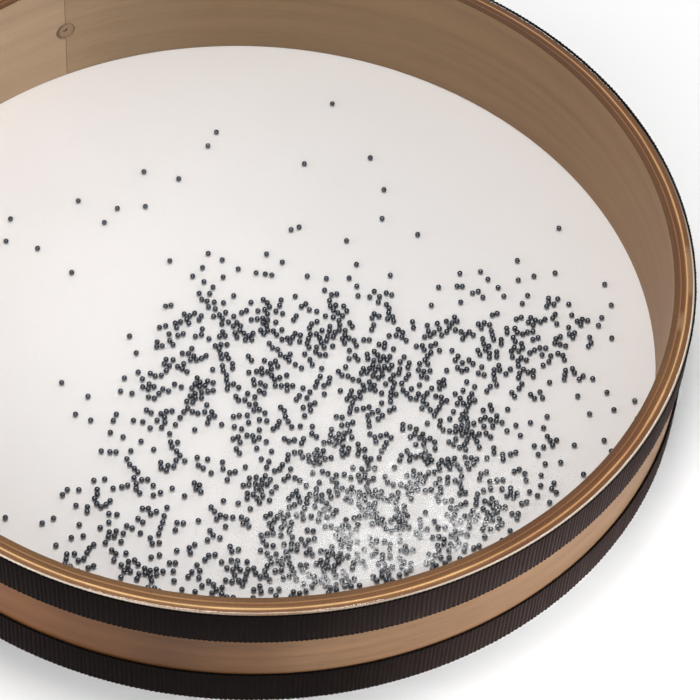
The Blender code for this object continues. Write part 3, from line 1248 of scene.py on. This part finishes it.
@dataclass
class Studio:
    """The camera at the photograph's place, the pale floor and the soft lights."""

    drum_radius: float = 0.254
    foot_height: float = 0.0002
    distance: float = 6.3961
    elevation: float = 50.2146
    pan: float = 2.1491
    tilt: float = -0.2584
    roll: float = 2.1169
    focal_px: float = 2744.7
    world_strength: float = 0.3

    def camera(self) -> None:
        """Places the camera: it looks at the axis, then pans, tilts and rolls a little."""
        rise = radians(self.elevation)
        away = Vector((0, -cos(rise), sin(rise)))
        forward = -away
        right = Vector((1, 0, 0))
        up = right.cross(forward)
        pan, tilt, roll = radians(self.pan), radians(self.tilt), radians(self.roll)
        panned = forward * cos(pan) + right * sin(pan)
        right = right * cos(pan) - forward * sin(pan)
        forward = panned * cos(tilt) + up * sin(tilt)
        up = up * cos(tilt) - panned * sin(tilt)
        rolled = right * cos(roll) + up * sin(roll)
        up = up * cos(roll) - right * sin(roll)
        place = away * self.distance * self.drum_radius + Vector((0, 0, self.foot_height))
        lens = bpy.data.cameras.new("photograph_camera")
        lens.sensor_width = SENSOR_WIDTH_MM
        lens.lens = self.focal_px * SENSOR_WIDTH_MM / PICTURE_WIDTH_PX
        camera = bpy.data.objects.new("photograph_camera", lens)
        axes = Matrix((rolled, up, -forward)).transposed()
        camera.matrix_world = Matrix.Translation(place) @ axes.to_4x4()
        bpy.context.scene.collection.objects.link(camera)
        bpy.context.scene.camera = camera

    def light(
        self, name: str, place: Point, aim: Point, size: float, power: float, fan: float = 180.0,
        mirrored: bool = True,
    ) -> None:
        """A soft square light.

        Args:
            name: The light's name.
            place: Where it hangs.
            aim: Where it points.
            size: Its side.
            power: Its power in watts.
            fan: How wide its light fans out, in degrees; a grid in front narrows it.
            mirrored: Whether glossy surfaces mirror it; a polariser in front takes that away.
        """
        lamp = bpy.data.lights.new(name, "AREA")
        lamp.size = size
        lamp.energy = power
        lamp.spread = radians(fan)
        made = bpy.data.objects.new(name, lamp)
        made.location = place
        made.rotation_euler = (Vector(aim) - Vector(place)).to_track_quat("-Z", "Y").to_euler()
        made.visible_camera = False
        made.visible_glossy = mirrored
        bpy.context.scene.collection.objects.link(made)

    def floor(self) -> bpy.types.Object:
        """A pale matt floor under the drum."""
        made, tree = new_material("pale_paper_floor")
        surface = add_node(
            tree, "ShaderNodeBsdfPrincipled", {"Base Color": linear("fcfcfc"), "Roughness": 0.9}
        )
        add_node(tree, "ShaderNodeOutputMaterial", {"Surface": surface.outputs[0]})
        reach = 6.0
        corners = [(-reach, -reach, 0), (reach, -reach, 0), (reach, reach, 0), (-reach, reach, 0)]
        return finish_mesh("pale_floor", [(x, y, -0.0005) for x, y, _ in corners], [(0, 1, 2, 3)], [made])

    def build(self) -> None:
        """Sets up the whole studio."""
        self.camera()
        self.floor()
        centre = (0.0, 0.0, 0.04)
        self.light("overhead_softbox", (0.0, 0.0, 1.15), centre, 0.45, 7.4)
        self.light("back_softbox", (0.7, 2.2, 0.75), (0.2, 0.3, 0.0), 0.8, 13.0)
        self.light("front_softbox", (-0.2, -1.4, 1.0), centre, 0.9, 7.0)
        self.light("left_softbox", (-1.5, -0.3, 0.6), centre, 1.0, 7.0, mirrored=False)
        self.light("right_softbox", (1.4, 0.4, 0.35), centre, 0.7, 5.0)
        self.light("gridded_softbox", (0.75, -0.6, 0.2), (0.18, -0.18, 0.04), 0.25, 0.4, 25.0, False)
        world = bpy.data.worlds.new("soft_white_room")
        world.use_nodes = True
        background = world.node_tree.nodes["Background"]
        background.inputs["Color"].default_value = linear("ffffff")
        background.inputs["Strength"].default_value = self.world_strength
        bpy.context.scene.world = world
        bpy.context.scene.view_settings.view_transform = "Standard"


def main() -> None:
    """Builds the studio and the drum, one sub-assembly after the other."""
    Studio().build()
    LOG.info("studio: camera, floor and lights")
    outside = VeneerFinish(
        "lacquered_beech_outside", light="9e7757", middle="937050", dark="836346",
        # Painted light and shade round the outside: darkest just left of the front, lighter on the left.
        light_and_shade_stops=(
            (0.0, "c4c4c4"), (0.3, "dadada"), (0.65, "fbede2"), (0.69, "e3c5ab"), (0.717, "c2aa91"),
            (0.745, "a69581"), (0.773, "bcafa2"), (0.8, "dad9d9"), (0.856, "cacaca"), (0.91, "bfbfbf"),
        ),
    ).make()
    inside = VeneerFinish(
        "lacquered_beech_inside", light="ad9174", middle="a78c6f", dark="9f8568",
        fleck_share=0.15, ring_lines_mm=((47.5, 4.0, 0.05), (69.0, 4.0, 0.06)),
        # Painted light and shade round the inner wall: paler and greyer on the left as a painted sheen, warmer and
        # darker to the right.
        light_and_shade_stops=(
            (0.0, "ffffff"), (0.6, "d8c2a6"), (0.64, "f1d8b2"), (0.667, "e4caa8"), (0.722, "ddcaaf"),
            (0.778, "d3c2ad"), (0.861, "d5cab5"), (0.93, "d5ccb9"), (0.972, "dcd8ce"), (1.0, "eae8e0"),
        ),
        lacquer=0.05, shine=0.2,
    ).make()
    for piece in Hoop().build(outside, inside, PlyEdgeFinish().make()):
        LOG.info("hoop: %s", piece.name)
    for piece in Heads().build(ClearFilmFinish().make(), WhiteFilmFinish().make()):
        LOG.info("head: %s", piece.name)
    grosgrain = GrosgrainFinish().make()
    for ribbon in (Ribbon("upper_ribbon", 98.0, 5), Ribbon("lower_ribbon", 104.0, 6)):
        LOG.info("ribbon: %s", ribbon.build(grosgrain).name)
    Bung().dress(
        EndGrainFinish().make(),
        MetalFinish("drawn_brass_pin", colour="c9a86c", roughness=0.35, scuff_mm=0.5).make(),
    )
    LOG.info("bung: dressed")
    steel = MetalFinish(
        "tumbled_steel_shot", colour="626771", roughness=0.13, scuff_mm=0.9, edge="606468"
    ).make()
    for piece in Shot().build(steel):
        LOG.info("shot: %s", piece.name)


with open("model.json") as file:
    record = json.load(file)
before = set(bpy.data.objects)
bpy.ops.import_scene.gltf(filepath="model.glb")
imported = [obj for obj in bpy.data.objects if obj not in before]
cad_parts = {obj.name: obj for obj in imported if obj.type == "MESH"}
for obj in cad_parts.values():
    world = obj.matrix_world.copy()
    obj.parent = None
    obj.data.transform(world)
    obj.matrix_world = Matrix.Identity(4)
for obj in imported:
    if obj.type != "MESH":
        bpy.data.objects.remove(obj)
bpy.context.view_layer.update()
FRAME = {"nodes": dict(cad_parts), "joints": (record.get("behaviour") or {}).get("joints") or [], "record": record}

if __name__ == "__main__":
    logging.basicConfig(level=logging.INFO, format="%(name)s %(message)s")
    main()
